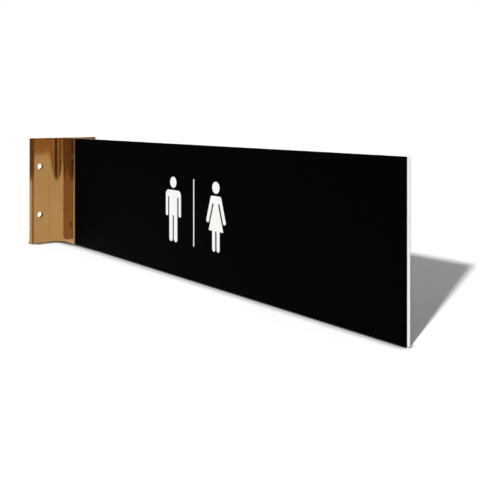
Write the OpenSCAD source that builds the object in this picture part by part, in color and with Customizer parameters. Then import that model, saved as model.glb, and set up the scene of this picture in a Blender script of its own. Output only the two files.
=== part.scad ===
// Restroom sign that stands out from a wall and reads from both sides.
// An engraved three-layer plate is clamped in the channel of a one-piece extruded wall bracket.
// +X points away from the wall along the plate, +Y to the far side, +Z up.
// The origin is the centre of the bracket's wall face.

/* [Sign plate] */
// Height of the plate, and of the bracket that is cut to match it
sign_h = 76.2; // [60:0.1:150]
// Length of the plate, with the stretch that the channel holds
plate_len = 304.8; // [180:0.1:450]
// Thickness of the whole laminate
plate_t = 2.4; // [1.6:0.1:4]
// Thickness of each black cap layer
cap_t = 0.2; // [0.1:0.05:0.4]
// Depth of the engraving, through the cap and into the core
engrave_depth = 0.3; // [0.3:0.05:0.6]
// Length of plate that the channel holds
seat_depth = 19; // [10:0.5:19]

/* [Wall bracket] */
// Width of the wall flange
flange_w = 52; // [48:0.5:80]
// Thickness of the wall flange
flange_t = 3.2; // [2.4:0.1:4]
// Depth of the bracket, from the wall to the front of its jaws
bracket_depth = 23.4; // [23:0.1:40]
// Thickness of each jaw of the channel
jaw_t = 1.5; // [1.2:0.1:3]
// Radius of the concave fillet between flange and jaw
fillet_r = 9; // [3:0.5:10]
// Width of the bevel along each outer edge of the flange
bevel_w = 0.8; // [0.4:0.1:3]
// Depth of that bevel, across the flange's thickness
bevel_d = 0.8; // [0.4:0.1:1.6]
// Width of the fine groove between the bevel and the flat
groove_w = 1.6; // [0.8:0.1:2]
// Depth of that groove
groove_depth = 1; // [0.3:0.1:1.2]
// Bevel on the outer corner of each jaw's front edge
jaw_bevel = 0.3; // [0.1:0.05:0.5]
// Gap between the plate and each jaw
slot_gap = 0.05; // [0.02:0.01:0.1]

/* [Wall screws] */
// Diameter of a wall-screw hole
wall_hole_d = 4.2; // [3.5:0.1:5]
// Distance of a hole's centre from the flange's outer edge
wall_hole_inset = 7; // [6:0.5:10]
// Height between the two holes of one wing
wall_hole_pitch = 35; // [25:0.5:45]

/* [Set screws] */
// Outer diameter of a set screw
set_d = 4.8; // [4.2:0.1:5.5]
// Length of a set screw
set_len = 2; // [2:0.1:4]
// Radial clearance of a set screw in its hole
set_gap = 0.05; // [0.02:0.01:0.1]
// Distance of a set screw's axis from the jaw's front edge
set_back = 4.2; // [3.5:0.1:7]
// Distance of a set screw's axis from the bracket's cut end
set_end = 13.2; // [8:0.1:18]
// Bevel round a set screw's outer rim
set_bevel = 0.3; // [0.1:0.05:0.4]
// Width of the hexagonal socket across its flats
socket_af = 2.4; // [1.5:0.1:2.5]
// Depth of the socket
socket_depth = 1.1; // [0.6:0.1:1.2]
// Diameter of the cup that bites on the plate
cup_d = 3; // [1:0.1:3.4]
// Depth of that cup
cup_depth = 0.5; // [0.2:0.1:0.6]

/* [Engraved figures] */
// Height of a figure, from its feet to the top of its head
fig_h = 38; // [34:0.5:50]
// Distance between the middles of the two figures
fig_pitch = 40; // [34:0.5:80]
// Diameter of a head
head_d = 6.6; // [5:0.1:8]
// Space between head and shoulders
neck_gap = 1.2; // [0.6:0.1:2]
// Width of an arm
arm_w = 2.7; // [2:0.1:3]
// Space between an arm and the body
arm_gap = 0.9; // [0.5:0.1:1]
// Length of an arm, from the top of the shoulder
arm_len = 15.5; // [12:0.5:17]
// Width across the man's shoulders
man_w = 15.6; // [14:0.1:20]
// Roundness of the man's shoulders
man_shoulder_r = 3; // [1.5:0.1:3.5]
// Space between the man's legs
leg_gap = 0.9; // [0.5:0.1:1.5]
// Length of the man's legs, up to the fork
leg_len = 15.4; // [12:0.1:18]
// Height of the man's armpits below the top of his shoulders
armpit = 4.2; // [4:0.1:6]
// Width across the woman's shoulders
woman_w = 9.6; // [9:0.1:11]
// Slope of the woman's arms and skirt
skirt_angle = 17; // [12:1:20]
// Height of the hem above the feet
hem_h = 11.2; // [9:0.1:13]
// Width of the woman's leg
woman_leg_w = 2.9; // [2:0.1:3.5]
// Width of the bar between the figures
bar_w = 1.2; // [0.8:0.1:2.5]

/* [Hidden] */
$fn = 64;
slot_w = plate_t + 2 * slot_gap;
slot_floor_x = bracket_depth - seat_depth;
channel_half = slot_w / 2 + jaw_t;
core_t = plate_t - 2 * cap_t;
plate_y = plate_t / 2;
plate_end_x = slot_floor_x + plate_len;
fig_x = (bracket_depth + plate_end_x) / 2;
body_top = fig_h - head_d - neck_gap;
shoulder_x = (woman_w - arm_w) / 2;
shoulder_y = body_top - arm_w / 2;
set_x = bracket_depth - set_back;
set_z = sign_h / 2 - set_end;
wall_hole_y = flange_w / 2 - wall_hole_inset;
// How far a cutter runs past the face it cuts
past = 1;

gold = "#af854f";
black = "#0a0a0a";
white = "#f2f1ee";
steel = "#6b5a45";

// Outline of half the flange: its outer edge is bevelled, and a groove sets that edge off
module half_flange() {
    polygon([
        [0, 0],
        [flange_t, 0],
        [flange_t, flange_w / 2 - bevel_w - groove_w],
        [flange_t - groove_depth, flange_w / 2 - bevel_w - groove_w / 2],
        [flange_t, flange_w / 2 - bevel_w],
        [flange_t - bevel_d, flange_w / 2],
        [0, flange_w / 2]
    ]);
}

// Outline of one concave fillet, in the corner between flange and jaw
module fillet() {
    translate([flange_t, channel_half]) {
        difference() {
            square(fillet_r);
            translate([fillet_r, fillet_r]) circle(fillet_r);
        }
    }
}

// Outline of the solid web and one jaw, with the jaw's front corner bevelled
module half_channel() {
    polygon([
        [0, 0],
        [slot_floor_x, 0],
        [slot_floor_x, slot_w / 2],
        [bracket_depth, slot_w / 2],
        [bracket_depth, channel_half - jaw_bevel],
        [bracket_depth - jaw_bevel, channel_half],
        [0, channel_half]
    ]);
}

// Section of the extrusion, the same on both sides of the plate
module bracket_section() {
    for (side = [0, 1]) {
        mirror([0, side]) {
            half_flange();
            half_channel();
            fillet();
        }
    }
}

// The four holes for the wall screws
module wall_holes() {
    for (y = [-wall_hole_y, wall_hole_y]) {
        for (z = [-wall_hole_pitch / 2, wall_hole_pitch / 2]) {
            translate([-past, y, z]) {
                rotate([0, 90, 0]) cylinder(d = wall_hole_d, h = flange_t + 2 * past);
            }
        }
    }
}

// The two tapped holes in the near jaw, at the size of the screw's crests
module set_holes() {
    for (z = [-set_z, set_z]) {
        translate([set_x, -slot_w / 2 + slot_w / 4, z]) {
            rotate([90, 0, 0]) cylinder(d = set_d + 2 * set_gap, h = jaw_t + slot_w / 4 + past);
        }
    }
}

module wall_bracket() {
    color(gold) {
        difference() {
            translate([0, 0, -sign_h / 2]) linear_extrude(sign_h) bracket_section();
            wall_holes();
            set_holes();
        }
    }
}

// A bar with round ends, standing on the origin
module round_bar(w, h) {
    translate([-w / 2, w / 2]) square([w, h - w]);
    translate([0, w / 2]) circle(w / 2);
    translate([0, h - w / 2]) circle(w / 2);
}

module head() {
    translate([0, fig_h - head_d / 2]) circle(head_d / 2);
}

// A man: level shoulders, straight arms, a trunk and two legs
module man() {
    trunk_w = man_w - 2 * arm_w - 2 * arm_gap;
    leg_w = (trunk_w - leg_gap) / 2;
    head();
    difference() {
        union() {
            translate([-man_w / 2, body_top - armpit]) square([man_w, armpit - man_shoulder_r]);
            translate([-man_w / 2 + man_shoulder_r, body_top - armpit]) {
                square([man_w - 2 * man_shoulder_r, armpit]);
            }
            for (side = [-1, 1]) {
                translate([side * (man_w / 2 - man_shoulder_r), body_top - man_shoulder_r]) {
                    circle(man_shoulder_r);
                }
            }
        }
        translate([-man_w, body_top - armpit - man_w]) square([2 * man_w, man_w]);
    }
    translate([-trunk_w / 2, leg_len]) square([trunk_w, body_top - armpit - leg_len]);
    for (side = [-1, 1]) {
        translate([side * (man_w - arm_w) / 2, body_top - arm_len]) {
            round_bar(arm_w, arm_len - armpit + arm_w / 2);
        }
        translate([side * (leg_gap + leg_w) / 2, 0]) {
            round_bar(leg_w, leg_len + leg_w / 2);
        }
    }
}

// A woman's arm, which slopes outwards from the shoulder
module sloped_arm(side) {
    translate([side * shoulder_x, shoulder_y]) {
        rotate([0, 0, side * skirt_angle]) translate([0, arm_w / 2 - arm_len]) round_bar(arm_w, arm_len);
    }
}

// Shoulders, and the chest that joins the two sloped arms down to the armpits
module woman_chest() {
    reach = shoulder_x + (armpit - arm_w / 2) * tan(skirt_angle);
    translate([-shoulder_x, body_top - arm_w]) square([2 * shoulder_x, arm_w]);
    polygon([
        [-shoulder_x, shoulder_y],
        [shoulder_x, shoulder_y],
        [reach, body_top - armpit],
        [-reach, body_top - armpit]
    ]);
}

// Waist and skirt, with sides that follow the arms at the width of the gap
module skirt() {
    side_x = shoulder_x - (arm_w / 2 + arm_gap) / cos(skirt_angle);
    waist = side_x + (armpit - arm_w / 2) * tan(skirt_angle);
    hem = side_x + (shoulder_y - hem_h) * tan(skirt_angle);
    polygon([
        [-waist, body_top - armpit],
        [-waist, shoulder_y],
        [waist, shoulder_y],
        [waist, body_top - armpit],
        [hem, hem_h],
        [-hem, hem_h]
    ]);
}

// A woman: sloped arms, a skirt that widens to its hem, and two legs
module woman() {
    head();
    woman_chest();
    skirt();
    for (side = [-1, 1]) {
        sloped_arm(side);
        translate([side * (leg_gap + woman_leg_w) / 2, 0]) {
            round_bar(woman_leg_w, hem_h + woman_leg_w / 2);
        }
    }
}

// Both figures and the bar between them, centred, as a reader of that face sees them
module figures() {
    translate([0, -fig_h / 2]) {
        translate([-fig_pitch / 2, 0]) man();
        translate([fig_pitch / 2, 0]) woman();
        round_bar(bar_w, fig_h);
    }
}

// Cutter for the marks on one face; side is -1 for the near face and 1 for the far one
module engraving(side) {
    translate([fig_x, side * (plate_y + past), 0]) {
        rotate([90, 0, side < 0 ? 0 : 180]) {
            translate([0, 0, -engrave_depth - past]) linear_extrude(engrave_depth + past) figures();
        }
    }
}

// One layer of the laminate, from depth y0, t thick
module layer(y0, t) {
    translate([slot_floor_x, y0, -sign_h / 2]) cube([plate_len, t, sign_h]);
}

module plate_core() {
    color(white) {
        difference() {
            layer(-core_t / 2, core_t);
            engraving(-1);
            engraving(1);
        }
    }
}

module plate_front_cap() {
    color(black) {
        difference() {
            layer(-plate_y, cap_t);
            engraving(-1);
        }
    }
}

module plate_back_cap() {
    color(black) {
        difference() {
            layer(plate_y - cap_t, cap_t);
            engraving(1);
        }
    }
}

// A set screw with its axis on Z, its cup at the origin and its socket at the top
module set_screw() {
    color(steel) {
        difference() {
            union() {
                cylinder(d = set_d, h = set_len - set_bevel);
                translate([0, 0, set_len - set_bevel]) {
                    cylinder(d1 = set_d, d2 = set_d - 2 * set_bevel, h = set_bevel);
                }
            }
            translate([0, 0, set_len - socket_depth]) {
                cylinder(d = socket_af / cos(30), h = socket_depth + past, $fn = 6);
            }
            cylinder(d1 = cup_d, d2 = 0, h = cup_depth);
        }
    }
}

// A set screw in its hole at height z, with its cup on the plate
module placed_set_screw(z) {
    translate([set_x, -plate_y, z]) rotate([90, 0, 0]) set_screw();
}

module set_screw_upper() {
    placed_set_screw(set_z);
}

module set_screw_lower() {
    placed_set_screw(-set_z);
}

wall_bracket();
plate_core();
plate_front_cap();
plate_back_cap();
set_screw_upper();
set_screw_lower();
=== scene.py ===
# %% [markdown]
# A restroom sign that stands out from a wall, so that people read it along a corridor.
# A black and white engraving laminate is held in the channel of one gold anodised aluminium
# extrusion, and two set screws clamp it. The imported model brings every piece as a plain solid.
# This script dresses them, one piece to a step, and all its sizes are metres.

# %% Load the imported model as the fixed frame
import math

import bmesh
import bpy
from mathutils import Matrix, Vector


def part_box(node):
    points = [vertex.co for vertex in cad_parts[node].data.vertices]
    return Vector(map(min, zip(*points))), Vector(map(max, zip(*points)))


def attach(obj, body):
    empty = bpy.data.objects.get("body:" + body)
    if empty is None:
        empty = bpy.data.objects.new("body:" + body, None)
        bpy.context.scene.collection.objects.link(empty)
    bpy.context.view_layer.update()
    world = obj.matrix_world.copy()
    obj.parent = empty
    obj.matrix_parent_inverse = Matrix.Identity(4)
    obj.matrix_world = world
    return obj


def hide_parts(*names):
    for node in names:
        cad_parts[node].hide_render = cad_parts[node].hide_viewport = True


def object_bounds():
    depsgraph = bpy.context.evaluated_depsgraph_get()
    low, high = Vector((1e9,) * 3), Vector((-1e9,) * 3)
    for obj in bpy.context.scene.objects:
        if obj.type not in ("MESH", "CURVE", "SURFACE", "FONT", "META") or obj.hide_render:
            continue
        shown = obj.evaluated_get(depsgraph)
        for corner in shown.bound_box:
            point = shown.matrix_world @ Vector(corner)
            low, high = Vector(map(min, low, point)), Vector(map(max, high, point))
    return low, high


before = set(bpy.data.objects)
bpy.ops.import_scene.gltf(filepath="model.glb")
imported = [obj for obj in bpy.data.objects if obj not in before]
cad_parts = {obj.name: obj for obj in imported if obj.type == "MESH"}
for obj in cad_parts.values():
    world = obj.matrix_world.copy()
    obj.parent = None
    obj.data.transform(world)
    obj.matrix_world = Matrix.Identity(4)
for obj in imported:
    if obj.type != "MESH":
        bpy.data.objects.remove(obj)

CAD_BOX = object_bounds()
MM = 0.001


def in_mm(place):
    """A point in millimetres, rounded for printing."""
    return [round(value / MM, 2) for value in place]


print("nodes:", sorted(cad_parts))
print("CAD box in mm:", [in_mm(corner) for corner in CAD_BOX])

# %% [markdown]
# Sizes that several pieces share come first. They could all be typed in, but what a node's
# box can tell is measured on it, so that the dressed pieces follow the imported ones. Only the
# gap round the plate and round the screws is given here, in millimetres.

# %% Sizes that more than one piece needs
bracket_low, bracket_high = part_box("wall_bracket")
plate_low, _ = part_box("plate_core")
front_low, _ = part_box("plate_front_cap")
screw_low, screw_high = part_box("set_screw_upper")

FIT_GAP = 0.05 * MM
SIGN_H = bracket_high.z - bracket_low.z
FLANGE_W = bracket_high.y - bracket_low.y
BRACKET_DEPTH = bracket_high.x
FACE_Y = -front_low.y
SLOT_HALF = FACE_Y + FIT_GAP
SCREW_R = (screw_high.z - screw_low.z) / 2
SCREW_LENGTH = screw_high.y - screw_low.y
SCREW_X = (screw_low.x + screw_high.x) / 2
SCREW_Z = (screw_low.z + screw_high.z) / 2
print("bracket, deep, wide and high in mm:", in_mm((BRACKET_DEPTH, FLANGE_W, SIGN_H)))
print("plate thick, screw across and long in mm:", in_mm((2 * FACE_Y, 2 * SCREW_R, SCREW_LENGTH)))

# %% [markdown]
# Blender mixes light in linear values, and a colour that is listed here is an sRGB hex
# value. One function turns the one into the other, so each colour can be read and changed as
# a hex value. A second function adds a node with its settings and links, to materials and to
# geometry trees alike. Nodes could also be added by hand in the editor, but then the script
# couldn't make them again.

# %% Two helpers: a colour and a node
def linear(code):
    """An sRGB hex code as a linear colour with alpha 1."""
    channels = [int(code[i:i + 2], 16) / 255 for i in (1, 3, 5)]
    bent = [c / 12.92 if c <= 0.04045 else ((c + 0.055) / 1.055) ** 2.4 for c in channels]
    return (*bent, 1.0)


def add_node(tree, kind, settings=None, values=None, links=None):
    """Adds a node to a tree, sets its options and socket values, and links what comes in."""
    node = tree.nodes.new(kind)
    for name, value in (settings or {}).items():
        setattr(node, name, value)
    for socket, value in (values or {}).items():
        node.inputs[socket].default_value = value
    for socket, source in (links or {}).items():
        tree.links.new(source, node.inputs[socket])
    return node


print("gold in linear values:", [round(c, 3) for c in linear("#af854f")])

# %% [markdown]
# Every material starts the same way: a Principled shader, its fixed values on its own
# sockets, and Object coordinates for the patterns. UV maps would need an unwrap for each
# piece. Each finished piece sits at the origin, so Object coordinates are metres in the
# sign's own frame, and a pattern stays where it is when the plate slides.

# %% A material with its shader and its coordinates
def new_material(name, **fixed):
    """A material with a Principled shader. Returns it, its tree, shader and object coordinates."""
    material = bpy.data.materials.new(name)
    material.use_nodes = True
    tree = material.node_tree
    shader = tree.nodes["Principled BSDF"]
    for socket, value in fixed.items():
        shader.inputs[socket.replace("_", " ")].default_value = value
    where = add_node(tree, "ShaderNodeTexCoord").outputs["Object"]
    return material, tree, shader, where


# %% [markdown]
# Gold anodised aluminium, extruded and bright dipped. The bar leaves the die with fine lines
# along its length, and the dip leaves them shallow. So the metal gives a soft, warm
# reflection that is streaked along Z. The clear oxide on it scatters a little light, so
# Metallic is just under 1. The shader's Anisotropic value could give streaks, but it needs a
# tangent on every face. Noise that is stretched along Z does it on all faces at once. The
# real lines are about 0.1 mm apart. They are drawn at 0.7 mm, because finer ones would vanish
# in the render, and run on for about 90 mm. A second noise, 22 mm across, is the slow change
# in the dye.

# %% Gold anodised aluminium
gold, tree, shader, where = new_material("gold_anodised_aluminium_extruded", Metallic=0.93)
die_scale = add_node(tree, "ShaderNodeMapping",
                     values={"Scale": (1 / (0.7 * MM), 1 / (0.7 * MM), 1 / (90 * MM))},
                     links={"Vector": where})
die_lines = add_node(tree, "ShaderNodeTexNoise", values={"Scale": 1.0, "Detail": 3.0},
                     links={"Vector": die_scale.outputs[0]})
dye_cloud = add_node(tree, "ShaderNodeTexNoise", values={"Scale": 1 / (22.2 * MM), "Detail": 2.0},
                     links={"Vector": where})
streaks = add_node(tree, "ShaderNodeMix", {"data_type": "FLOAT"}, {"Factor": 0.5},
                   {"A": dye_cloud.outputs["Fac"], "B": die_lines.outputs["Fac"]})
dye_and_shade = add_node(tree, "ShaderNodeMix", {"data_type": "RGBA"},
               {"A": linear("#b68c58"), "B": linear("#a07440")},
               {"Factor": streaks.outputs["Result"]})
tree.links.new(dye_and_shade.outputs["Result"], shader.inputs["Base Color"])
sheen = add_node(tree, "ShaderNodeMapRange", values={"To Min": 0.04, "To Max": 0.08},
                 links={"Value": die_lines.outputs["Fac"]})
tree.links.new(sheen.outputs[0], shader.inputs["Roughness"])
die_bump = add_node(tree, "ShaderNodeBump", values={"Strength": 0.12, "Distance": 0.02 * MM},
                    links={"Height": die_lines.outputs["Fac"]})
tree.links.new(die_bump.outputs[0], shader.inputs["Normal"])
print("material:", gold.name)

# %% [markdown]
# The bar is sawn to length before it is dipped and dyed. The saw leaves fine marks straight
# across each end, and the dip doesn't take them out, so the ends are the same gold but dull.
# A mask on height could make the one material dull there. A material of its own is easier to
# read, and the bracket's tree can set it on the two end faces. The real marks are about
# 0.15 mm apart and are drawn at 0.5 mm. Each runs on for about 20 mm.

# %% Sawn ends of the same metal
sawn, tree, shader, where = new_material("gold_anodised_aluminium_sawn", Metallic=0.93)
tooth_scale = add_node(tree, "ShaderNodeMapping",
                       values={"Scale": (1 / (0.5 * MM), 1 / (20 * MM), 1 / (20 * MM))},
                       links={"Vector": where})
teeth = add_node(tree, "ShaderNodeTexNoise", values={"Scale": 1.0, "Detail": 2.0},
                 links={"Vector": tooth_scale.outputs[0]})
dye_and_shade = add_node(tree, "ShaderNodeMix", {"data_type": "RGBA"},
               {"A": linear("#b68c58"), "B": linear("#a07440")},
               {"Factor": teeth.outputs["Fac"]})
tree.links.new(dye_and_shade.outputs["Result"], shader.inputs["Base Color"])
dull = add_node(tree, "ShaderNodeMapRange", values={"To Min": 0.44, "To Max": 0.56},
                links={"Value": teeth.outputs["Fac"]})
tree.links.new(dull.outputs[0], shader.inputs["Roughness"])
tooth_bump = add_node(tree, "ShaderNodeBump", values={"Strength": 0.3, "Distance": 0.03 * MM},
                      links={"Height": teeth.outputs["Fac"]})
tree.links.new(tooth_bump.outputs[0], shader.inputs["Normal"])
print("material:", sawn.name)

# %% [markdown]
# The holes are drilled across the die lines, and the drill leaves fine rings in them. The bores
# are coloured darker than the gold outside, as painted shade inside the holes, and the rings
# scatter what the bore would mirror. Rings in the mesh would cost thousands of faces that
# nobody sees, so a fine noise in the roughness stands for them. The real rings are about 0.1 mm
# apart and are drawn at 0.25 mm.

# %% Drilled bores in the same metal, darkened as painted shade
bore, tree, shader, where = new_material("gold_anodised_aluminium_drilled_painted_shade", Metallic=1.0)
rings = add_node(tree, "ShaderNodeTexNoise", values={"Scale": 1 / (0.25 * MM), "Detail": 2.0},
                 links={"Vector": where})
# painted shade: both colours of the bores are darker than the gold, for the shade in the holes
dye_and_shade = add_node(tree, "ShaderNodeMix", {"data_type": "RGBA"},
               {"A": linear("#8f6334"), "B": linear("#6f481f")},
               {"Factor": rings.outputs["Fac"]})
tree.links.new(dye_and_shade.outputs["Result"], shader.inputs["Base Color"])
torn = add_node(tree, "ShaderNodeMapRange", values={"To Min": 0.4, "To Max": 0.6},
                links={"Value": rings.outputs["Fac"]})
tree.links.new(torn.outputs[0], shader.inputs["Roughness"])
print("material:", bore.name)

# %% [markdown]
# The cap layer of the laminate is a modified acrylic, rolled with a fine matte grain so that
# the sign doesn't glare. The eye sees a deep black with hardly any reflection, so the
# specular level is far below that of plain acrylic. The grain could be displaced in the mesh,
# but a faint bump shows as much. The real grain is about 0.05 mm and is drawn at 0.25 mm.
# Hands leave patches that are a little smoother, about 45 mm across.

# %% Matte black acrylic cap
black, tree, shader, where = new_material("black_acrylic_cap_matte", IOR=1.49,
                                          Specular_IOR_Level=0.005)
grain = add_node(tree, "ShaderNodeTexNoise", values={"Scale": 1 / (0.25 * MM), "Detail": 2.0},
                 links={"Vector": where})
handling = add_node(tree, "ShaderNodeTexNoise", values={"Scale": 1 / (45 * MM), "Detail": 3.0},
                    links={"Vector": where})
tone = add_node(tree, "ShaderNodeMix", {"data_type": "RGBA"},
                {"A": linear("#020202"), "B": linear("#050505")},
                {"Factor": grain.outputs["Fac"]})
tree.links.new(tone.outputs["Result"], shader.inputs["Base Color"])
matte = add_node(tree, "ShaderNodeMapRange", values={"To Min": 0.42, "To Max": 0.52},
                 links={"Value": handling.outputs["Fac"]})
tree.links.new(matte.outputs[0], shader.inputs["Roughness"])
grain_bump = add_node(tree, "ShaderNodeBump", values={"Strength": 0.15, "Distance": 0.01 * MM},
                      links={"Height": grain.outputs["Fac"]})
tree.links.new(grain_bump.outputs[0], shader.inputs["Normal"])
print("material:", black.name)

# %% [markdown]
# The core is the same acrylic in white. It shows on the sawn edges, and on the floor of the
# engraving, where the cutter leaves fine passes. Edges and floor could have a material each,
# but both cuts look alike, so both are one pattern of lines along Z. They are about 0.4 mm
# apart, which is a real engraver's step, and each is about 6 mm long.

# %% White acrylic core
white, tree, shader, where = new_material("white_acrylic_core_cut", IOR=1.49)
cut_scale = add_node(tree, "ShaderNodeMapping",
                     values={"Scale": (1 / (0.4 * MM), 1 / (0.4 * MM), 1 / (6.25 * MM))},
                     links={"Vector": where})
cut_lines = add_node(tree, "ShaderNodeTexNoise", values={"Scale": 1.0, "Detail": 2.0},
                     links={"Vector": cut_scale.outputs[0]})
tone = add_node(tree, "ShaderNodeMix", {"data_type": "RGBA"},
                {"A": linear("#f3f2f0"), "B": linear("#e9e8e5")},
                {"Factor": cut_lines.outputs["Fac"]})
tree.links.new(tone.outputs["Result"], shader.inputs["Base Color"])
cut = add_node(tree, "ShaderNodeMapRange", values={"To Min": 0.45, "To Max": 0.65},
               links={"Value": cut_lines.outputs["Fac"]})
tree.links.new(cut.outputs[0], shader.inputs["Roughness"])
cut_bump = add_node(tree, "ShaderNodeBump", values={"Strength": 0.2, "Distance": 0.02 * MM},
                    links={"Height": cut_lines.outputs["Fac"]})
tree.links.new(cut_bump.outputs[0], shader.inputs["Normal"])
print("material:", white.name)

# %% [markdown]
# The set screws are small steel screws, zinc plated and passivated to go with the gold. The
# plating is thin, so the turned steel shows through it as a faint mottle about 1 mm across.
# One plain colour would do from afar, but the mottle is what a close look finds.

# %% Plated steel of the set screws
plated, tree, shader, where = new_material("yellow_zinc_plated_steel", Metallic=1.0)
mottle = add_node(tree, "ShaderNodeTexNoise", values={"Scale": 1 / (1 * MM), "Detail": 3.0},
                  links={"Vector": where})
tone = add_node(tree, "ShaderNodeMix", {"data_type": "RGBA"},
                {"A": linear("#93703f"), "B": linear("#775a34")},
                {"Factor": mottle.outputs["Fac"]})
tree.links.new(tone.outputs["Result"], shader.inputs["Base Color"])
worn = add_node(tree, "ShaderNodeMapRange", values={"To Min": 0.3, "To Max": 0.45},
                links={"Value": mottle.outputs["Fac"]})
tree.links.new(worn.outputs[0], shader.inputs["Roughness"])
print("material:", plated.name)

# %% [markdown]
# Geometry Nodes trees make the pieces that follow a rule. Code could place every corner
# instead, but a tree has its sizes as named inputs and makes as many pieces as it is run for.
# One function makes a tree and hands out its inputs. A second one ends it: instances become
# real faces, and the last material is set.

# %% Making a tree and ending it
def new_tree(name, inputs):
    """A Geometry Nodes tree with named inputs, given as (name, kind) pairs, and their sockets."""
    tree = bpy.data.node_groups.new(name, "GeometryNodeTree")
    tree.interface.new_socket("Geometry", in_out="INPUT", socket_type="NodeSocketGeometry")
    tree.interface.new_socket("Geometry", in_out="OUTPUT", socket_type="NodeSocketGeometry")
    for label, kind in inputs:
        tree.interface.new_socket(label, in_out="INPUT", socket_type="NodeSocket" + kind)
    return tree, tree.nodes.new("NodeGroupInput").outputs


def close_tree(tree, geometry, material, chosen=None):
    """Ends a tree: makes instances real and sets the material on all faces or the chosen ones."""
    real = add_node(tree, "GeometryNodeRealizeInstances", links={0: geometry})
    dressed = add_node(tree, "GeometryNodeSetMaterial",
                       links={"Geometry": real.outputs[0], "Material": material})
    if chosen is not None:
        tree.links.new(chosen, dressed.inputs["Selection"])
    add_node(tree, "NodeGroupOutput", links={0: dressed.outputs[0]})
    print("tree", tree.name, "has", len(tree.nodes), "nodes")


# %% [markdown]
# A tree runs as a modifier on an empty mesh, and its result is kept as a plain mesh. The
# modifier could stay, but the exporter and the frame want a mesh that is finished. An input is
# set by its socket's identifier, because names aren't keys there. The primitives in a tree
# bring an empty material slot, which is dropped.

# %% Running a tree
def baked_mesh(obj):
    """What an object's modifiers make, as a mesh of its own."""
    bpy.context.view_layer.update()
    depsgraph = bpy.context.evaluated_depsgraph_get()
    return bpy.data.meshes.new_from_object(obj.evaluated_get(depsgraph))


def run_tree(tree, name, given):
    """Runs a tree with these inputs and returns its result as an object with a plain mesh."""
    obj = bpy.data.objects.new(name, bpy.data.meshes.new(name))
    bpy.context.scene.collection.objects.link(obj)
    modifier = obj.modifiers.new("tree", "NODES")
    modifier.node_group = tree
    for item in tree.interface.items_tree:
        if item.in_out == "INPUT" and item.name in given:
            modifier[item.identifier] = given[item.name]
    obj.data = baked_mesh(obj)
    obj.modifiers.clear()
    if obj.data.materials[0] is None:
        obj.data.materials.pop(index=0)
    return obj


# %% [markdown]
# A sawn or drilled edge is never quite sharp, and the thin light line along it is what makes
# metal look real. Each edge could be drawn round from the start. A Bevel modifier is quicker:
# it rounds all edges that are sharper than 30 degrees, and a Weighted Normal modifier after it
# keeps the flats flat. Faces are merged and turned outwards first.

# %% Rounding the edges of a piece
SAME_POINT = 0.002 * MM


def round_edges(obj, width, angle=30):
    """Merges doubles, turns faces out, rounds sharp edges by width, and shades the result smooth."""
    work = bmesh.new()
    work.from_mesh(obj.data)
    bmesh.ops.remove_doubles(work, verts=work.verts, dist=SAME_POINT)
    bmesh.ops.recalc_face_normals(work, faces=work.faces)
    open_edges = sum(1 for edge in work.edges if len(edge.link_faces) != 2)
    work.to_mesh(obj.data)
    work.free()
    obj.data.shade_smooth()
    bevel = obj.modifiers.new("edges", "BEVEL")
    bevel.width = width
    bevel.segments = 2
    bevel.limit_method = "ANGLE"
    bevel.angle_limit = math.radians(angle)
    bevel.use_clamp_overlap = True
    flats = obj.modifiers.new("flats", "WEIGHTED_NORMAL")
    flats.mode = "FACE_AREA"
    flats.weight = 100
    obj.data = baked_mesh(obj)
    obj.modifiers.clear()
    print(obj.name, "has", len(obj.data.polygons), "faces and", open_edges, "open edges")
    return obj


# %% [markdown]
# The bracket is one extrusion, so its section is drawn once and pushed up to full height, as
# the die pushes the bar. Boxes and cylinders could be joined to the same shape, but then its
# fillets would need booleans. The section is a T: a flange with bevelled outer edges that a
# groove sets off, two concave fillets, and a channel with two thin jaws. Only half of it is
# worked out here, for Y above zero.

# %% Half of the bracket's section
FLANGE_T = 3.2 * MM
BEVEL_W = 0.8 * MM
BEVEL_D = 0.8 * MM
GROOVE_W = 1.6 * MM
GROOVE_DEPTH = 1.0 * MM
FILLET_R = 9 * MM
FILLET_STEPS = 24
JAW_T = 1.5 * MM
JAW_BEVEL = 0.3 * MM
JAW_Y = SLOT_HALF + JAW_T


def half_section():
    """Half of the T, from the wall's outer corner to the slot's floor, for Y above zero."""
    top = FLANGE_W / 2
    points = [(0, top), (FLANGE_T - BEVEL_D, top), (FLANGE_T, top - BEVEL_W),
              (FLANGE_T - GROOVE_DEPTH, top - BEVEL_W - GROOVE_W / 2),
              (FLANGE_T, top - BEVEL_W - GROOVE_W)]
    for i in range(FILLET_STEPS + 1):
        turn = math.radians(180 + 90 * i / FILLET_STEPS)
        points.append((FLANGE_T + FILLET_R + FILLET_R * math.cos(turn),
                       JAW_Y + FILLET_R + FILLET_R * math.sin(turn)))
    points += [(BRACKET_DEPTH - JAW_BEVEL, JAW_Y), (BRACKET_DEPTH, JAW_Y - JAW_BEVEL),
               (BRACKET_DEPTH, SLOT_HALF), (plate_low.x, SLOT_HALF)]
    return points


upper = half_section()
print("half of the section has", len(upper), "points; the jaw ends at Y", round(JAW_Y / MM, 2), "mm")

# %% [markdown]
# The other half is the same points with Y turned over, so both halves are sure to match. A
# Mirror modifier could do it to the finished bar, but the boolean below wants one closed bar.
# A closed poly curve carries the section into the tree.

# %% The whole section as a curve
outline = [(x, -y) for x, y in upper] + upper[::-1]
section = bpy.data.objects.new("section", bpy.data.curves.new("section", "CURVE"))
spline = section.data.splines.new("POLY")
spline.points.add(len(outline) - 1)
for point, (x, y) in zip(spline.points, outline):
    point.co = (x, y, 0, 1)
spline.use_cyclic_u = True
bpy.context.scene.collection.objects.link(section)
print("section of", len(outline), "points")

# %% [markdown]
# The tree first makes the bar. It fills the section and pushes it up, closes the lower end
# with the section turned over, and moves the bar down by half its height. A Solidify modifier
# could push a flat section up as well, but the tree goes on with the drilling below.

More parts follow.
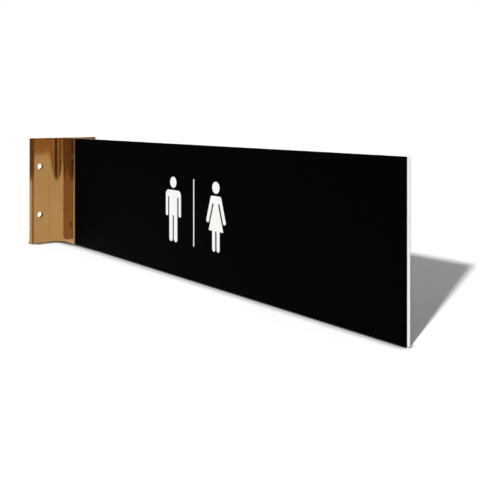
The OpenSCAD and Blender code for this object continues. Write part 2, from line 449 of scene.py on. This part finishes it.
# %% A tree for the bracket, first part: the bar
tree, given = new_tree("extruded_bracket", [
    ("Section", "Object"), ("Height", "Float"), ("Wall hole radius", "Float"),
    ("Wall hole Y", "Float"), ("Wall hole Z", "Float"), ("Screw hole radius", "Float"),
    ("Screw place", "Vector"), ("Screw spacing", "Vector"),
    ("Material", "Material"), ("Bore material", "Material"), ("End material", "Material")])
drawn = add_node(tree, "GeometryNodeObjectInfo", links={"Object": given["Section"]})
filled = add_node(tree, "GeometryNodeFillCurve", {"mode": "NGONS"},
                  links={"Curve": drawn.outputs["Geometry"]})
pushed = add_node(tree, "GeometryNodeExtrudeMesh", {"mode": "FACES"},
                  {"Offset": (0, 0, 1), "Individual": False},
                  {"Mesh": filled.outputs[0], "Offset Scale": given["Height"]})
under = add_node(tree, "GeometryNodeFlipFaces", links={"Mesh": filled.outputs[0]})
closed = add_node(tree, "GeometryNodeJoinGeometry", links={0: pushed.outputs["Mesh"]})
tree.links.new(under.outputs[0], closed.inputs[0])
merged = add_node(tree, "GeometryNodeMergeByDistance", values={"Distance": SAME_POINT},
                  links={"Geometry": closed.outputs[0]})
half = add_node(tree, "ShaderNodeMath", {"operation": "MULTIPLY"}, {1: 0.5},
                {0: given["Height"]}).outputs[0]
down = add_node(tree, "ShaderNodeMath", {"operation": "MULTIPLY"}, {1: -1.0}, {0: half})
way_down = add_node(tree, "ShaderNodeCombineXYZ", links={"Z": down.outputs[0]})
centred = add_node(tree, "GeometryNodeTransform", links={
    "Geometry": merged.outputs[0], "Translation": way_down.outputs[0]})
bar = add_node(tree, "GeometryNodeSetMaterial",
               links={"Geometry": centred.outputs[0], "Material": given["Material"]})
print("the bar takes", len(tree.nodes), "nodes")

# %% [markdown]
# The bracket has four wall holes and two tapped ones in the near jaw. Each could be a cylinder
# placed by hand. Here one cylinder stands on the corners of a grid and another one on the ends
# of a line, as drills stand in a jig, so one distance moves them all. The wall drill passes
# the flange, and the screw drill ends inside the channel, before it reaches the far jaw.

# %% A tree for the bracket, second part: the drills
WALL_DRILL = 20 * MM
SCREW_DRILL = 4 * MM
grid_sizes = {}
for side, distance in (("Size X", "Wall hole Z"), ("Size Y", "Wall hole Y")):
    grid_sizes[side] = add_node(tree, "ShaderNodeMath", {"operation": "MULTIPLY"}, {1: 2.0},
                                {0: given[distance]}).outputs[0]
corners = add_node(tree, "GeometryNodeMeshGrid", values={"Vertices X": 2, "Vertices Y": 2},
                   links=grid_sizes)
on_wall = add_node(tree, "GeometryNodeTransform", values={"Rotation": (0, math.pi / 2, 0)},
                   links={"Geometry": corners.outputs["Mesh"]})
on_jaw = add_node(tree, "GeometryNodeMeshLine", values={"Count": 2}, links={
    "Start Location": given["Screw place"], "Offset": given["Screw spacing"]})
drills = add_node(tree, "GeometryNodeJoinGeometry")
for places, radius, length, turn in (
        (on_wall, "Wall hole radius", WALL_DRILL, (0, math.pi / 2, 0)),
        (on_jaw, "Screw hole radius", SCREW_DRILL, (math.pi / 2, 0, 0))):
    drill = add_node(tree, "GeometryNodeMeshCylinder", values={"Vertices": 64, "Depth": length},
                     links={"Radius": given[radius]})
    turned = add_node(tree, "GeometryNodeTransform", values={"Rotation": turn},
                      links={"Geometry": drill.outputs["Mesh"]})
    standing = add_node(tree, "GeometryNodeInstanceOnPoints", links={
        "Points": places.outputs[0], "Instance": turned.outputs[0]})
    tree.links.new(standing.outputs[0], drills.inputs[0])
drills = add_node(tree, "GeometryNodeRealizeInstances", links={0: drills.outputs[0]})
drills = add_node(tree, "GeometryNodeSetMaterial",
                  links={"Geometry": drills.outputs[0], "Material": given["Bore material"]})
print("with the drills it takes", len(tree.nodes), "nodes")

# %% [markdown]
# One boolean cuts all the holes, and each bore keeps its drill's material. The sawn ends are
# picked by place: a face whose middle is as far up or down as half the height. Picking by
# normal would also take strips of the bores.

# %% A tree for the bracket, third part: the cut and the sawn ends
drilled = add_node(tree, "GeometryNodeMeshBoolean",
                   {"operation": "DIFFERENCE", "solver": "EXACT"},
                   links={"Mesh 1": bar.outputs[0], "Mesh 2": drills.outputs[0]})
middle = add_node(tree, "GeometryNodeInputPosition").outputs[0]
level = add_node(tree, "ShaderNodeMath", {"operation": "ABSOLUTE"}, links={
    0: add_node(tree, "ShaderNodeSeparateXYZ", links={0: middle}).outputs["Z"]})
at_end = add_node(tree, "ShaderNodeMath", {"operation": "COMPARE"}, {2: 0.01 * MM},
                  {0: level.outputs[0], 1: half})
close_tree(tree, drilled.outputs["Mesh"], given["End material"], at_end.outputs[0])

# %% [markdown]
# The tree runs once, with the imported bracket's sizes. The wall holes pass number 8 screws and
# stand 38 mm by 35 mm apart. Its edges are broken by an eighth of a millimetre, which is what
# the dip leaves of a sawn corner.

# %% Extrude and drill the bracket
WALL_HOLE_R = 2.1 * MM
WALL_HOLE_Y = 19 * MM
WALL_HOLE_Z = 17.5 * MM
SCREW_DRILL_Y = -SLOT_HALF - 1 * MM
bracket = run_tree(tree, "bracket", {
    "Section": section, "Height": SIGN_H, "Wall hole radius": WALL_HOLE_R,
    "Wall hole Y": WALL_HOLE_Y, "Wall hole Z": WALL_HOLE_Z,
    "Screw hole radius": SCREW_R + FIT_GAP,
    "Screw place": (SCREW_X, SCREW_DRILL_Y, -SCREW_Z),
    "Screw spacing": (0.0, 0.0, 2 * SCREW_Z),
    "Material": gold, "Bore material": bore, "End material": sawn})
bpy.data.objects.remove(section)
round_edges(bracket, width=0.12 * MM)
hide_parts("wall_bracket")
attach(bracket, "bracket")
for i, material in enumerate(bracket.data.materials):
    faces = [face for face in bracket.data.polygons if face.material_index == i]
    print(material.name, "is on", len(faces), "faces")

# %% [markdown]
# A set screw is a short threaded stud with a hexagonal socket in its outer end and a cup that
# bites on the plate at the inner end. The tree cuts socket and cup from a cylinder. A lathe
# profile would give the cup as well, but not the six flats.

# %% A tree for a set screw, first part: stud, socket and cup
CUP_DEPTH = 0.5 * MM
tree, given = new_tree("set_screw", [
    ("Radius", "Float"), ("Length", "Float"), ("Thread depth", "Float"), ("Pitch", "Float"),
    ("Socket radius", "Float"), ("Socket depth", "Float"), ("Cup radius", "Float"),
    ("Place", "Vector"), ("Material", "Material")])
core_r = add_node(tree, "ShaderNodeMath", {"operation": "SUBTRACT"},
                  links={0: given["Radius"], 1: given["Thread depth"]}).outputs[0]
half = add_node(tree, "ShaderNodeMath", {"operation": "MULTIPLY"}, {1: 0.5},
                {0: given["Length"]})
to_middle = add_node(tree, "ShaderNodeCombineXYZ", links={"Z": half.outputs[0]})
stud = add_node(tree, "GeometryNodeMeshCylinder", values={"Vertices": 48},
                links={"Radius": core_r, "Depth": given["Length"]})
stud = add_node(tree, "GeometryNodeTransform", links={
    "Geometry": stud.outputs["Mesh"], "Translation": to_middle.outputs[0]})
to_end = add_node(tree, "ShaderNodeCombineXYZ", links={"Z": given["Length"]})
key_depth = add_node(tree, "ShaderNodeMath", {"operation": "MULTIPLY"}, {1: 2.0},
                     {0: given["Socket depth"]})
key = add_node(tree, "GeometryNodeMeshCylinder", values={"Vertices": 6},
               links={"Radius": given["Socket radius"], "Depth": key_depth.outputs[0]})
key = add_node(tree, "GeometryNodeTransform", links={
    "Geometry": key.outputs["Mesh"], "Translation": to_end.outputs[0]})
cup = add_node(tree, "GeometryNodeMeshCone", values={"Vertices": 48, "Depth": CUP_DEPTH},
               links={"Radius Bottom": given["Cup radius"]})
broached = add_node(tree, "GeometryNodeMeshBoolean",
                    {"operation": "DIFFERENCE", "solver": "EXACT"},
                    links={"Mesh 1": stud.outputs[0], "Mesh 2": key.outputs[0]})
tree.links.new(cup.outputs["Mesh"], broached.inputs["Mesh 2"])
print("stud, socket and cup take", len(tree.nodes), "nodes")

# %% [markdown]
# The thread is a ridge that is swept along a spiral, as a thread cutter would leave it. Its
# profile is a square that stands on its corner. A bump could suggest it, but then the dark
# ring between screw and hole would be missing, and that ring is what one sees of a thread in
# its hole.

# %% A tree for a set screw, second part: the thread
climb = add_node(tree, "ShaderNodeMath", {"operation": "SUBTRACT"},
                 links={0: given["Length"], 1: given["Pitch"]}).outputs[0]
turns = add_node(tree, "ShaderNodeMath", {"operation": "DIVIDE"},
                 links={0: climb, 1: given["Pitch"]}).outputs[0]
helix = add_node(tree, "GeometryNodeCurveSpiral", values={"Resolution": 40}, links={
    "Rotations": turns, "Start Radius": core_r, "End Radius": core_r, "Height": climb})
ridge = add_node(tree, "GeometryNodeCurvePrimitiveCircle", values={"Resolution": 4},
                 links={"Radius": given["Thread depth"]})
thread = add_node(tree, "GeometryNodeCurveToMesh", values={"Fill Caps": True}, links={
    "Curve": helix.outputs[0], "Profile Curve": ridge.outputs[0]})
half_pitch = add_node(tree, "ShaderNodeMath", {"operation": "MULTIPLY"}, {1: 0.5},
                      {0: given["Pitch"]})
first_turn = add_node(tree, "ShaderNodeCombineXYZ", links={"Z": half_pitch.outputs[0]})
thread = add_node(tree, "GeometryNodeTransform", links={
    "Geometry": thread.outputs[0], "Translation": first_turn.outputs[0]})
whole = add_node(tree, "GeometryNodeJoinGeometry", links={0: broached.outputs["Mesh"]})
tree.links.new(thread.outputs[0], whole.inputs[0])
placed = add_node(tree, "GeometryNodeTransform", values={"Rotation": (math.pi / 2, 0, 0)},
                  links={"Geometry": whole.outputs[0], "Translation": given["Place"]})
close_tree(tree, placed.outputs[0], given["Material"])

# %% [markdown]
# Both set screws are number 10 with 32 threads to the inch, so the pitch is 0.8 mm, and the
# key is 2.4 mm across its flats. The tree runs once for each of them, because each one moves
# on its own body.

# %% Make both set screws with the same tree
THREAD_DEPTH = 0.35 * MM
PITCH = 0.8 * MM
SOCKET_FLATS = 2.4 * MM
SOCKET_DEPTH = 1.1 * MM
CUP_R = 1.5 * MM
for end, sign in (("upper", 1), ("lower", -1)):
    screw = run_tree(tree, "screw_" + end, {
        "Radius": SCREW_R, "Length": SCREW_LENGTH, "Thread depth": THREAD_DEPTH, "Pitch": PITCH,
        "Socket radius": SOCKET_FLATS / 2 / math.cos(math.pi / 6), "Socket depth": SOCKET_DEPTH,
        "Cup radius": CUP_R, "Place": (SCREW_X, screw_high.y, sign * SCREW_Z),
        "Material": plated})
    round_edges(screw, width=0.06 * MM, angle=50)
    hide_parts("set_screw_" + end)
    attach(screw, "screw_" + end)

# %% [markdown]
# The laminate's layers are already right as solids, with the figures cut through each cap and
# a little way into the core. What they lack is an edge: the saw and the cutter leave one that
# is broken by a few hundredths of a millimetre. The figures could be drawn and cut again, but
# a copy of the node is sure to fit. It is merged, cleared of the edges that only split a
# flat, and rounded.

# %% The plate's layers with broken edges
def edged_copy(node, name, width, material):
    """A copy of a CAD node with its flats joined up and its edges rounded."""
    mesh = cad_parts[node].data.copy()
    obj = bpy.data.objects.new(name, mesh)
    bpy.context.scene.collection.objects.link(obj)
    work = bmesh.new()
    work.from_mesh(mesh)
    bmesh.ops.remove_doubles(work, verts=work.verts, dist=SAME_POINT)
    bmesh.ops.dissolve_limit(work, angle_limit=math.radians(1), verts=work.verts,
                             edges=work.edges, delimit={"NORMAL"})
    work.to_mesh(mesh)
    work.free()
    mesh.materials.clear()
    mesh.materials.append(material)
    for face in mesh.polygons:
        face.material_index = 0
    return round_edges(obj, width)


plate_pieces = []
for side in ("front", "back"):
    cap = edged_copy(f"plate_{side}_cap", f"cap_{side}", 0.06 * MM, black)
    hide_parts(f"plate_{side}_cap")
    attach(cap, "plate")
    plate_pieces.append(cap)
core = edged_copy("plate_core", "core", 0.03 * MM, white)
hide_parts("plate_core")
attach(core, "plate")
plate_pieces.append(core)

# %% [markdown]
# The camera stands where the photograph was taken from: about 50 degrees round to the right,
# level, with the picture shifted so that upright edges stay upright. Tilting the camera down
# would frame the sign as well, but would make its upright edges lean. Its place, focal length
# and shift come from the corners of plate and bracket in the photograph.

# %% Camera
camera = bpy.data.objects.new("camera", bpy.data.cameras.new("camera"))
camera.data.lens = 50.56
camera.data.sensor_width = 36.0
camera.data.shift_y = -0.2588
camera.data.clip_start = 0.01
camera.data.clip_end = 50.0
camera.location = (0.47089, -0.22601, 0.05441)
camera.rotation_euler = (math.pi / 2, 0.0, math.radians(49.631))
bpy.context.scene.collection.objects.link(camera)
bpy.context.scene.camera = camera
looks_along = camera.rotation_euler.to_matrix() @ Vector((0, 0, -1))
print("camera looks along", [round(c, 3) for c in looks_along])

# %% [markdown]
# Polished metal should mirror the same white that the camera sees behind it, but that white
# mustn't light anything. A brighter world would be white too, and would wash out the sign. So
# white is kept for rays that the camera sent, straight or by way of a mirror or glass. A ray
# that has met a matte surface on its way gets the plain studio light.

# %% Which rays see the background white
def empty_nodes(owner):
    """Switches a material's or world's nodes on and clears them."""
    owner.use_nodes = True
    owner.node_tree.nodes.clear()
    return owner.node_tree


def sees_white(tree, with_camera):
    """A factor: 1 on mirror and glass rays, and on camera rays if asked, with no matte bounce."""
    path = add_node(tree, "ShaderNodeLightPath").outputs
    ray = add_node(tree, "ShaderNodeMath", {"operation": "MAXIMUM"},
                   links={0: path["Is Glossy Ray"], 1: path["Is Transmission Ray"]}).outputs[0]
    if with_camera:
        ray = add_node(tree, "ShaderNodeMath", {"operation": "MAXIMUM"},
                       links={0: ray, 1: path["Is Camera Ray"]}).outputs[0]
    direct = add_node(tree, "ShaderNodeMath", {"operation": "LESS_THAN"}, {1: 0.5},
                      {0: path["Diffuse Depth"]}).outputs[0]
    return add_node(tree, "ShaderNodeMath", {"operation": "MULTIPLY"},
                    links={0: ray, 1: direct}).outputs[0]


# %% [markdown]
# The sign stands on a white table top. Where the two meet, little light gets in, and that
# gives a thin dark line. Light alone leaves it too faint on a table this bright, so ambient
# occlusion draws it. The camera sees the table at the wall from further off than at the free
# end, so the reach of the occlusion narrows along the sign. A wide one makes the soft shade,
# and a narrow, steep one the seam. Both end beside the flange, where nothing stands.

# %% The contact line on the table
paper = bpy.data.materials.new("white_table_top")
tree = empty_nodes(paper)
where = add_node(tree, "ShaderNodeTexCoord").outputs["Object"]
place = add_node(tree, "ShaderNodeSeparateXYZ", links={0: where}).outputs
sideways = add_node(tree, "ShaderNodeMath", {"operation": "ABSOLUTE"}, links={0: place["Y"]})
beside = add_node(tree, "ShaderNodeMapRange", values={
    "From Min": FLANGE_W / 2 - 2 * MM, "From Max": FLANGE_W / 2 + 1 * MM,
    "To Min": 1.0, "To Max": 0.0}, links={"Value": sideways.outputs[0]})
shades = []
for at_wall, further_out, by, power in ((10 * MM, 6 * MM, 300 * MM, 1.8),
                                        (9 * MM, 1.8 * MM, 60 * MM, 3.5)):
    reach = add_node(tree, "ShaderNodeMapRange", values={
        "From Max": by, "To Min": at_wall, "To Max": further_out}, links={"Value": place["X"]})
    reach = add_node(tree, "ShaderNodeMath", {"operation": "MULTIPLY"},
                     links={0: reach.outputs[0], 1: beside.outputs[0]})
    dim = add_node(tree, "ShaderNodeAmbientOcclusion", {"samples": 16},
                   {"Color": (1, 1, 1, 1)}, {"Distance": reach.outputs[0]})
    shades.append(add_node(tree, "ShaderNodeMath", {"operation": "POWER"}, {1: power},
                           {0: dim.outputs["AO"]}).outputs[0])
    print("shade reaches", in_mm((at_wall, further_out)), "mm")
contact = add_node(tree, "ShaderNodeMath", {"operation": "MULTIPLY"},
                   links={0: shades[0], 1: shades[1]})

# %% [markdown]
# To the camera the table's colour is lifted until the lit table is as white as the background,
# so only the shadow shows. More light would do the same to the table, but it would bleach the
# sign. Polished metal sees the table white too, because it mirrors the emission instead.

# %% The table's white
TABLE_WHITE = "#f2f2f2"
TABLE_LIFT = 2.08
lifted = add_node(tree, "ShaderNodeVectorMath", {"operation": "SCALE"}, {0: (TABLE_LIFT,) * 3},
                  {"Scale": contact.outputs[0]})
to_camera = add_node(tree, "ShaderNodeLightPath").outputs["Is Camera Ray"]
tone = add_node(tree, "ShaderNodeMix", {"data_type": "RGBA"}, {"A": linear(TABLE_WHITE)},
                {"Factor": to_camera, "B": lifted.outputs[0]})
matte = add_node(tree, "ShaderNodeBsdfDiffuse", links={"Color": tone.outputs["Result"]})
bright = add_node(tree, "ShaderNodeEmission", values={"Color": (1, 1, 1, 1), "Strength": 1.0})
surface = add_node(tree, "ShaderNodeMixShader", links={
    0: sees_white(tree, with_camera=False), 1: matte.outputs[0], 2: bright.outputs[0]})
add_node(tree, "ShaderNodeOutputMaterial", links={"Surface": surface.outputs[0]})
print("material:", paper.name)

# %% [markdown]
# The table is one flat sheet under the sign's lowest point, so large that no view sees its
# edge. A thick table would do as well, but nobody would see its sides.

# %% Table top
TABLE_HALF = 12.0
FLOOR_Z = CAD_BOX[0].z


def stage_sheet(name, corners, material):
    """A flat sheet of the studio, which isn't part of the object."""
    sheet = bpy.data.objects.new(name, bpy.data.meshes.new(name))
    sheet.data.from_pydata(corners, [], [(0, 1, 2, 3)])
    sheet.data.materials.append(material)
    bpy.context.scene.collection.objects.link(sheet)
    return sheet


stage_sheet("table", [(x * TABLE_HALF, y * TABLE_HALF, FLOOR_Z)
                      for x, y in ((-1, -1), (1, -1), (1, 1), (-1, 1))], paper)
print("table top at z", round(FLOOR_Z / MM, 2), "mm")

# %% [markdown]
# What makes polished metal look like metal is what it mirrors. The photographed bracket mirrors
# the white table low down and a dim, warm room above the table's near end. A whole room could
# be built, but the bracket mirrors only a narrow part of it, so upright cards that glow in the
# room's colours are enough. Only mirror rays see a card, so it neither blocks the camera nor
# shades the sign.

# %% A card's material and the card itself
def card_material(name, colour):
    """A material that glows in one colour. Returns it, its tree and its emission node."""
    material = bpy.data.materials.new(name)
    tree = empty_nodes(material)
    glow = add_node(tree, "ShaderNodeEmission", values={"Color": linear(colour), "Strength": 1.0})
    add_node(tree, "ShaderNodeOutputMaterial", links={"Surface": glow.outputs[0]})
    return material, tree, glow


def mirror_card(name, corners, material):
    """A sheet of the studio that only mirror rays see."""
    card = stage_sheet(name, corners, material)
    for ray in ("camera", "diffuse", "transmission", "volume_scatter", "shadow"):
        setattr(card, "visible_" + ray, False)
    print("card", card.name, "from", in_mm(corners[0]), "to", in_mm(corners[2]))


# %% [markdown]
# The room is one card, half a metre from the bracket. The flat of the wing mirrors its plain
# colour. The fillet mirrors far more of it, squeezed into thin stripes: one black thing, the
# wall beside it, and a dark corner, which bevel and jaw show once more. They could be cards of
# their own. Here each is a stretch of the one card, given by its middle, half its width and
# its colour, and a later one is painted over an earlier one.

# %% Room card
ROOM_TURN = math.radians(-42)
ROOM_AWAY = 0.5
ROOM_SIDE = Vector((-math.sin(ROOM_TURN), math.cos(ROOM_TURN), 0))
ROOM_HALF = 4.0
ROOM_H = 0.6
ROOM_COLOUR = "#bf976e"
ROOM_ZONES = ((-0.27, 0.067, "#4a3626"), (0.0725, 0.130, "#8a6a4c"), (0.090, 0.075, "#060505"))
room, tree, glow = card_material("dim_warm_room", ROOM_COLOUR)
where = add_node(tree, "ShaderNodeTexCoord").outputs["Object"]
along = add_node(tree, "ShaderNodeVectorMath", {"operation": "DOT_PRODUCT"}, {1: ROOM_SIDE},
                 {0: where}).outputs["Value"]
plain = add_node(tree, "ShaderNodeRGB")
plain.outputs[0].default_value = linear(ROOM_COLOUR)
painted = plain.outputs[0]
for middle, half_wide, colour in ROOM_ZONES:
    inside = add_node(tree, "ShaderNodeMath", {"operation": "COMPARE"},
                      {1: middle, 2: half_wide}, {0: along})
    painted = add_node(tree, "ShaderNodeMix", {"data_type": "RGBA"}, {"B": linear(colour)},
                       {"Factor": inside.outputs[0], "A": painted}).outputs["Result"]
tree.links.new(painted, glow.inputs["Color"])
foot = Vector((ROOM_AWAY * math.cos(ROOM_TURN), ROOM_AWAY * math.sin(ROOM_TURN), FLOOR_Z))
near = foot - ROOM_HALF * ROOM_SIDE
far = foot + ROOM_HALF * ROOM_SIDE
lift = Vector((0, 0, ROOM_H))
mirror_card("room", [near, far, far + lift, near + lift], room)

# %% [markdown]
# The bevel on the wing's outer edge looks sideways, past the wall, and would mirror the white
# world there. The photograph shows it dark, so a second card stands on that side. It could be
# a bend in the first card, but a straight one of its own is easier to place.

# %% Side card
SIDE_X = -0.46
SIDE_Y = (-1.26, 0.6)
side, _, _ = card_material("dark_room_side", "#8a6a4c")
left, right = [Vector((SIDE_X, y, FLOOR_Z)) for y in SIDE_Y]
mirror_card("room_side", [left, right, right + lift, left + lift], side)

# %% [markdown]
# The plate isn't mirrored in the bracket of the photograph, so mirror rays pass its pieces by.
# Only the ends of the jaws mirror it, as a black line right beside it. The plate can't be in
# some mirror rays and not in others, so a narrow black strip beside each jaw's end takes its
# place there. It lies in the plate's face, and the wing and the fillets hardly see it.

# %% The plate in the mirror of the jaws' ends
STRIP_W = 1.9 * MM
strip, _, _ = card_material("shade_beside_jaws", "#060505")
for name, y in (("shade_near", -FACE_Y), ("shade_far", FACE_Y)):
    inner = BRACKET_DEPTH
    outer = BRACKET_DEPTH + STRIP_W
    mirror_card(name, [(inner, y, FLOOR_Z), (outer, y, FLOOR_Z),
                       (outer, y, -FLOOR_Z), (inner, y, -FLOOR_Z)], strip)
for piece in plate_pieces:
    piece.visible_glossy = False

# %% [markdown]
# The world is a dim white for everything it lights, and full white for rays that should see
# the background. A backdrop could do that too, but it would show its edges from other sides.

# %% World
WORLD_LIGHT = 0.10
world = bpy.data.worlds.new("studio")
bpy.context.scene.world = world
tree = empty_nodes(world)
strength = add_node(tree, "ShaderNodeMix", {"data_type": "FLOAT"}, {"A": WORLD_LIGHT, "B": 1.0},
                    {"Factor": sees_white(tree, with_camera=True)})
sky = add_node(tree, "ShaderNodeBackground", values={"Color": (1, 1, 1, 1)},
               links={"Strength": strength.outputs["Result"]})
add_node(tree, "ShaderNodeOutputWorld", links={"Surface": sky.outputs[0]})
print("world lights at", WORLD_LIGHT)

# %% [markdown]
# The key lamp stands high on the left of the camera, where the shadow beside the free end says
# it was. Two soft lamps low over the table light the free end and the far side. They are so low
# that they hardly reach the table, so its shadow stays dark. Area lamps would fall off along
# the sign, and suns light all of it alike. Metal mirrors the key alone.

# %% Lamps
for name, towards, energy, degrees, mirrored in (
        ("key", (0.341, -0.844, 0.414), 3.0, 3.0, True),
        ("end_fill", (0.995, -0.08, 0.02), 1.85, 10.0, False),
        ("far_fill", (-0.2, 0.975, 0.02), 1.8, 10.0, False)):
    lamp = bpy.data.objects.new(name, bpy.data.lights.new(name, "SUN"))
    lamp.data.energy = energy
    lamp.data.angle = math.radians(degrees)
    lamp.visible_glossy = mirrored
    lamp.rotation_euler = Vector(towards).to_track_quat("Z", "Y").to_euler()
    bpy.context.scene.collection.objects.link(lamp)
    height = math.degrees(math.asin(towards[2] / Vector(towards).length))
    print("lamp", name, "stands", round(height, 1), "degrees above the table")

# %% [markdown]
# Light that polished metal throws back on the table would be a faint gold patch of noise, which
# the photograph doesn't show, so those paths are left out. Colours are shown as they are, with
# no film look.

# %% View settings
bpy.context.scene.cycles.caustics_reflective = False
bpy.context.scene.view_settings.view_transform = "Standard"
